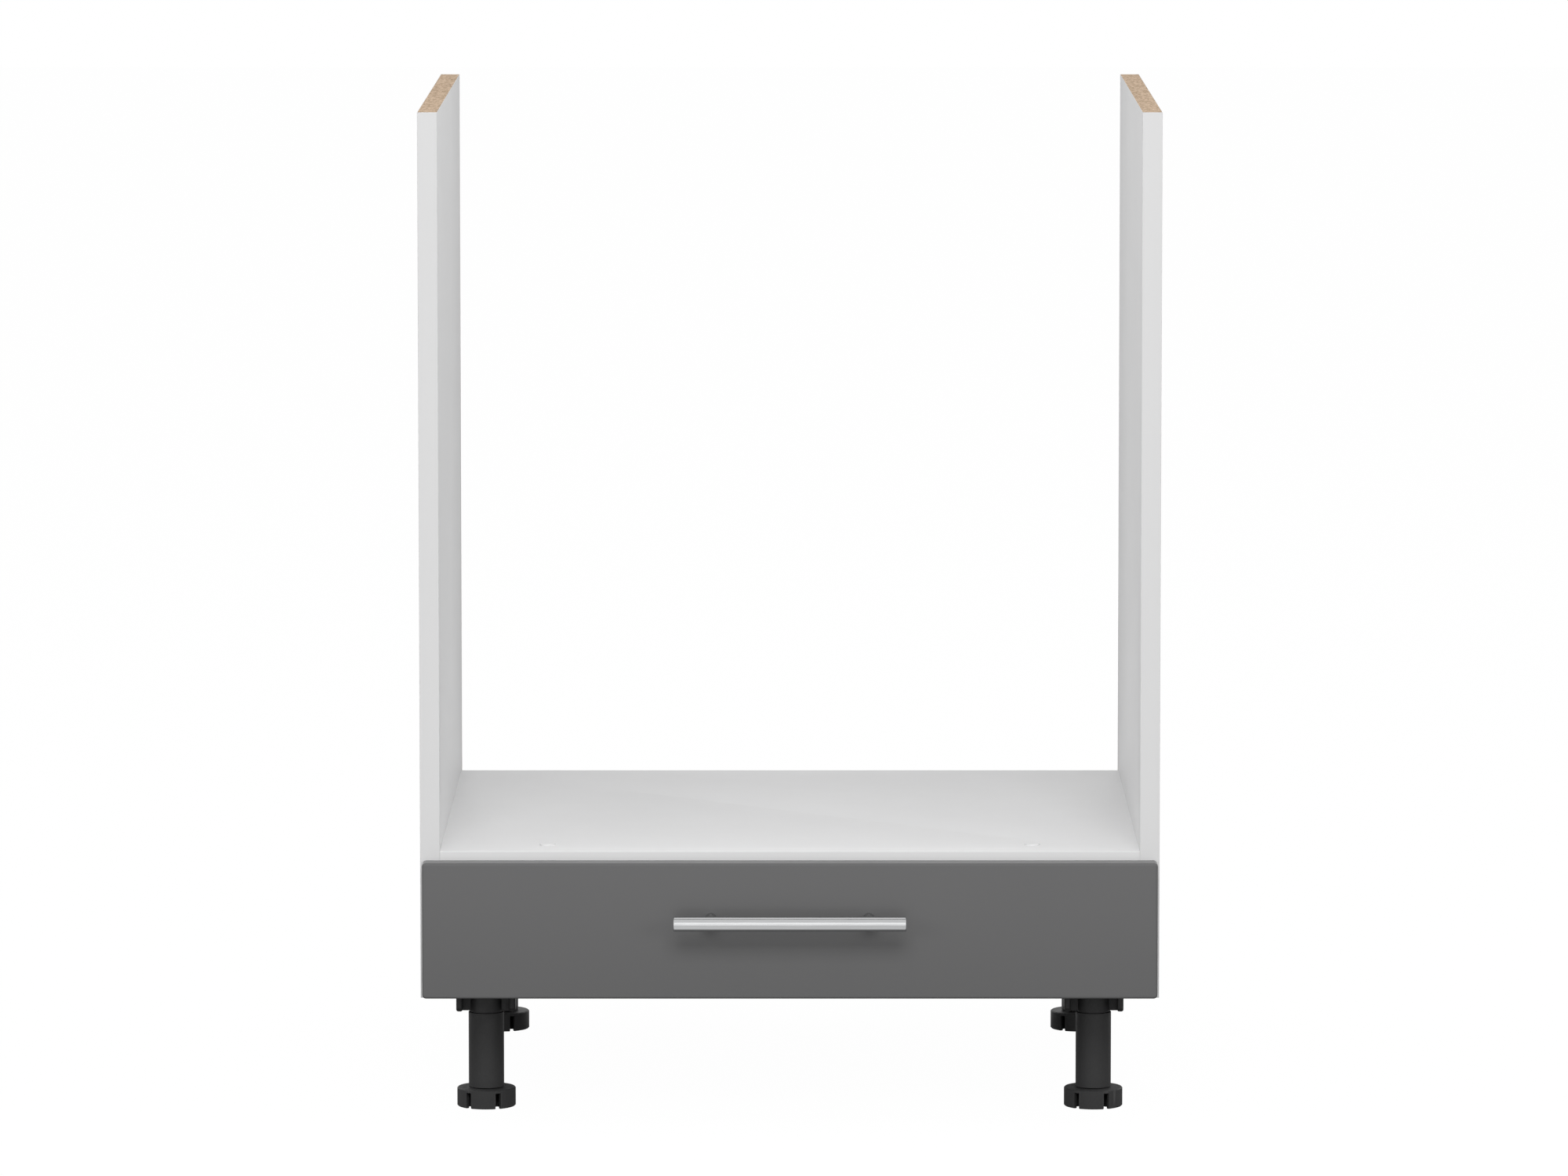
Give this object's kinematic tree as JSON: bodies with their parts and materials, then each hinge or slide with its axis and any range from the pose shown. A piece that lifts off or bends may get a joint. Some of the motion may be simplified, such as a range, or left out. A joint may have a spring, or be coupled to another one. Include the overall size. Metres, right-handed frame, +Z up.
{
  "type": "oven housing base unit",
  "caption": "Base kitchen unit that houses a built-in oven: open niche between white side panels over a low grey drawer with a bar handle, on black screw-adjustable legs.",
  "frame": {"origin": "on the floor, in the middle of the unit's footprint, drawer handle included", "axes": "+X to the right as seen from the front, +Y to the back, +Z up"},
  "size_m": [0.6, 0.595, 0.82],
  "materials": {
    "white_board": "chipboard with a fine-grained matt white melamine face, raw tan chip core on the cut top edges",
    "hardboard": "thin hardboard, white inside, brown and rough outside",
    "edging": "smooth white edge banding",
    "cap_plastic": "smooth white cover caps",
    "bare_steel": "bright zinc-plated steel",
    "cam_zinc": "dull die-cast zinc",
    "beech": "plain beech",
    "black_plastic": "moulded satin-matt black plastic",
    "coated_steel": "off-white epoxy-coated sheet steel",
    "nylon": "natural white nylon",
    "bumper_plastic": "soft clear-white bumper",
    "grey_front": "mid grey high-gloss face on a board core",
    "handle_metal": "satin chrome"
  },
  "bodies": {
    "carcass": {"left_side_panel": "white_board", "right_side_panel": "white_board", "left_side_edging": "edging", "right_side_edging": "edging", "bottom_panel": "white_board", "bottom_edging": "edging", "oven_shelf": "white_board", "shelf_edging": "edging", "shelf_rail": "white_board", "rail_screws": "bare_steel", "shelf_screw_caps": "cap_plastic", "back_panel": "hardboard", "back_nails": "bare_steel", "cam_discs": "cam_zinc", "cam_bolts": "bare_steel", "wood_dowels": "beech", "leg_socket_front_left": "black_plastic", "leg_socket_front_right": "black_plastic", "leg_socket_rear_left": "black_plastic", "leg_socket_rear_right": "black_plastic", "leg_tube_front_left": "black_plastic", "leg_tube_front_right": "black_plastic", "leg_tube_rear_left": "black_plastic", "leg_tube_rear_right": "black_plastic", "leg_screws": "bare_steel", "left_runner": "coated_steel", "right_runner": "coated_steel", "runner_screws": "bare_steel", "runner_roller_pins": "bare_steel"},
    "stem_front_left": {"leg_stem_front_left": "black_plastic"},
    "stem_front_right": {"leg_stem_front_right": "black_plastic"},
    "stem_rear_left": {"leg_stem_rear_left": "black_plastic"},
    "stem_rear_right": {"leg_stem_rear_right": "black_plastic"},
    "foot_front_left": {"leg_foot_front_left": "black_plastic"},
    "foot_front_right": {"leg_foot_front_right": "black_plastic"},
    "foot_rear_left": {"leg_foot_rear_left": "black_plastic"},
    "foot_rear_right": {"leg_foot_rear_right": "black_plastic"},
    "left_runner_roller_body": {"left_runner_roller": "nylon"},
    "right_runner_roller_body": {"right_runner_roller": "nylon"},
    "drawer": {"drawer_front": "grey_front", "left_drawer_side": "coated_steel", "right_drawer_side": "coated_steel", "drawer_bottom": "white_board", "drawer_back": "white_board", "left_front_bracket": "coated_steel", "right_front_bracket": "coated_steel", "drawer_screws": "bare_steel", "drawer_roller_pins": "bare_steel", "handle_bar": "handle_metal", "left_handle_post": "handle_metal", "right_handle_post": "handle_metal", "handle_screws": "bare_steel", "front_bumpers": "bumper_plastic"},
    "left_drawer_roller_body": {"left_drawer_roller": "nylon"},
    "right_drawer_roller_body": {"right_drawer_roller": "nylon"}
  },
  "joints": [
    {"name": "drawer_slide", "type": "slide", "parent": "carcass", "child": "drawer", "axis": [0, -1, 0], "range_m": [0, 0.38]},
    {"name": "left_runner_roller_spin", "type": "hinge", "parent": "carcass", "child": "left_runner_roller_body", "pos_m": [-0.27565, -0.2205, 0.1688], "axis": [1, 0, 0], "range_deg": [0, 2210]},
    {"name": "left_drawer_roller_spin", "type": "hinge", "parent": "drawer", "child": "left_drawer_roller_body", "pos_m": [-0.2746, 0.2075, 0.1564], "axis": [1, 0, 0], "range_deg": [0, 2430]},
    {"name": "right_runner_roller_spin", "type": "hinge", "parent": "carcass", "child": "right_runner_roller_body", "pos_m": [0.27565, -0.2205, 0.1688], "axis": [1, 0, 0], "range_deg": [0, 2210]},
    {"name": "right_drawer_roller_spin", "type": "hinge", "parent": "drawer", "child": "right_drawer_roller_body", "pos_m": [0.2746, 0.2075, 0.1564], "axis": [1, 0, 0], "range_deg": [0, 2430]},
    {"name": "front_left_height", "type": "slide", "parent": "carcass", "child": "stem_front_left", "axis": [0, 0, -1], "range_m": [0, 0.024]},
    {"name": "front_left_foot_turn", "type": "hinge", "parent": "stem_front_left", "child": "foot_front_left", "pos_m": [-0.249, -0.1705, 0.008], "axis": [0, 0, 1], "range_deg": [0, 2880]},
    {"name": "front_right_height", "type": "slide", "parent": "carcass", "child": "stem_front_right", "axis": [0, 0, -1], "range_m": [0, 0.024]},
    {"name": "front_right_foot_turn", "type": "hinge", "parent": "stem_front_right", "child": "foot_front_right", "pos_m": [0.249, -0.1705, 0.008], "axis": [0, 0, 1], "range_deg": [0, 2880]},
    {"name": "rear_left_height", "type": "slide", "parent": "carcass", "child": "stem_rear_left", "axis": [0, 0, -1], "range_m": [0, 0.024]},
    {"name": "rear_left_foot_turn", "type": "hinge", "parent": "stem_rear_left", "child": "foot_rear_left", "pos_m": [-0.249, 0.2415, 0.008], "axis": [0, 0, 1], "range_deg": [0, 2880]},
    {"name": "rear_right_height", "type": "slide", "parent": "carcass", "child": "stem_rear_right", "axis": [0, 0, -1], "range_m": [0, 0.024]},
    {"name": "rear_right_foot_turn", "type": "hinge", "parent": "stem_rear_right", "child": "foot_rear_right", "pos_m": [0.249, 0.2415, 0.008], "axis": [0, 0, 1], "range_deg": [0, 2880]}
  ],
  "couplings": [
    {"joint": "left_runner_roller_spin", "follows": "drawer_slide", "rad_per_m": 101.01},
    {"joint": "left_drawer_roller_spin", "follows": "drawer_slide", "rad_per_m": 111.11},
    {"joint": "right_runner_roller_spin", "follows": "drawer_slide", "rad_per_m": 101.01},
    {"joint": "right_drawer_roller_spin", "follows": "drawer_slide", "rad_per_m": 111.11},
    {"joint": "front_left_height", "follows": "front_left_foot_turn", "m_per_rad": 0.00047746},
    {"joint": "front_right_height", "follows": "front_right_foot_turn", "m_per_rad": 0.00047746},
    {"joint": "rear_left_height", "follows": "rear_left_foot_turn", "m_per_rad": 0.00047746},
    {"joint": "rear_right_height", "follows": "rear_right_foot_turn", "m_per_rad": 0.00047746}
  ]
}
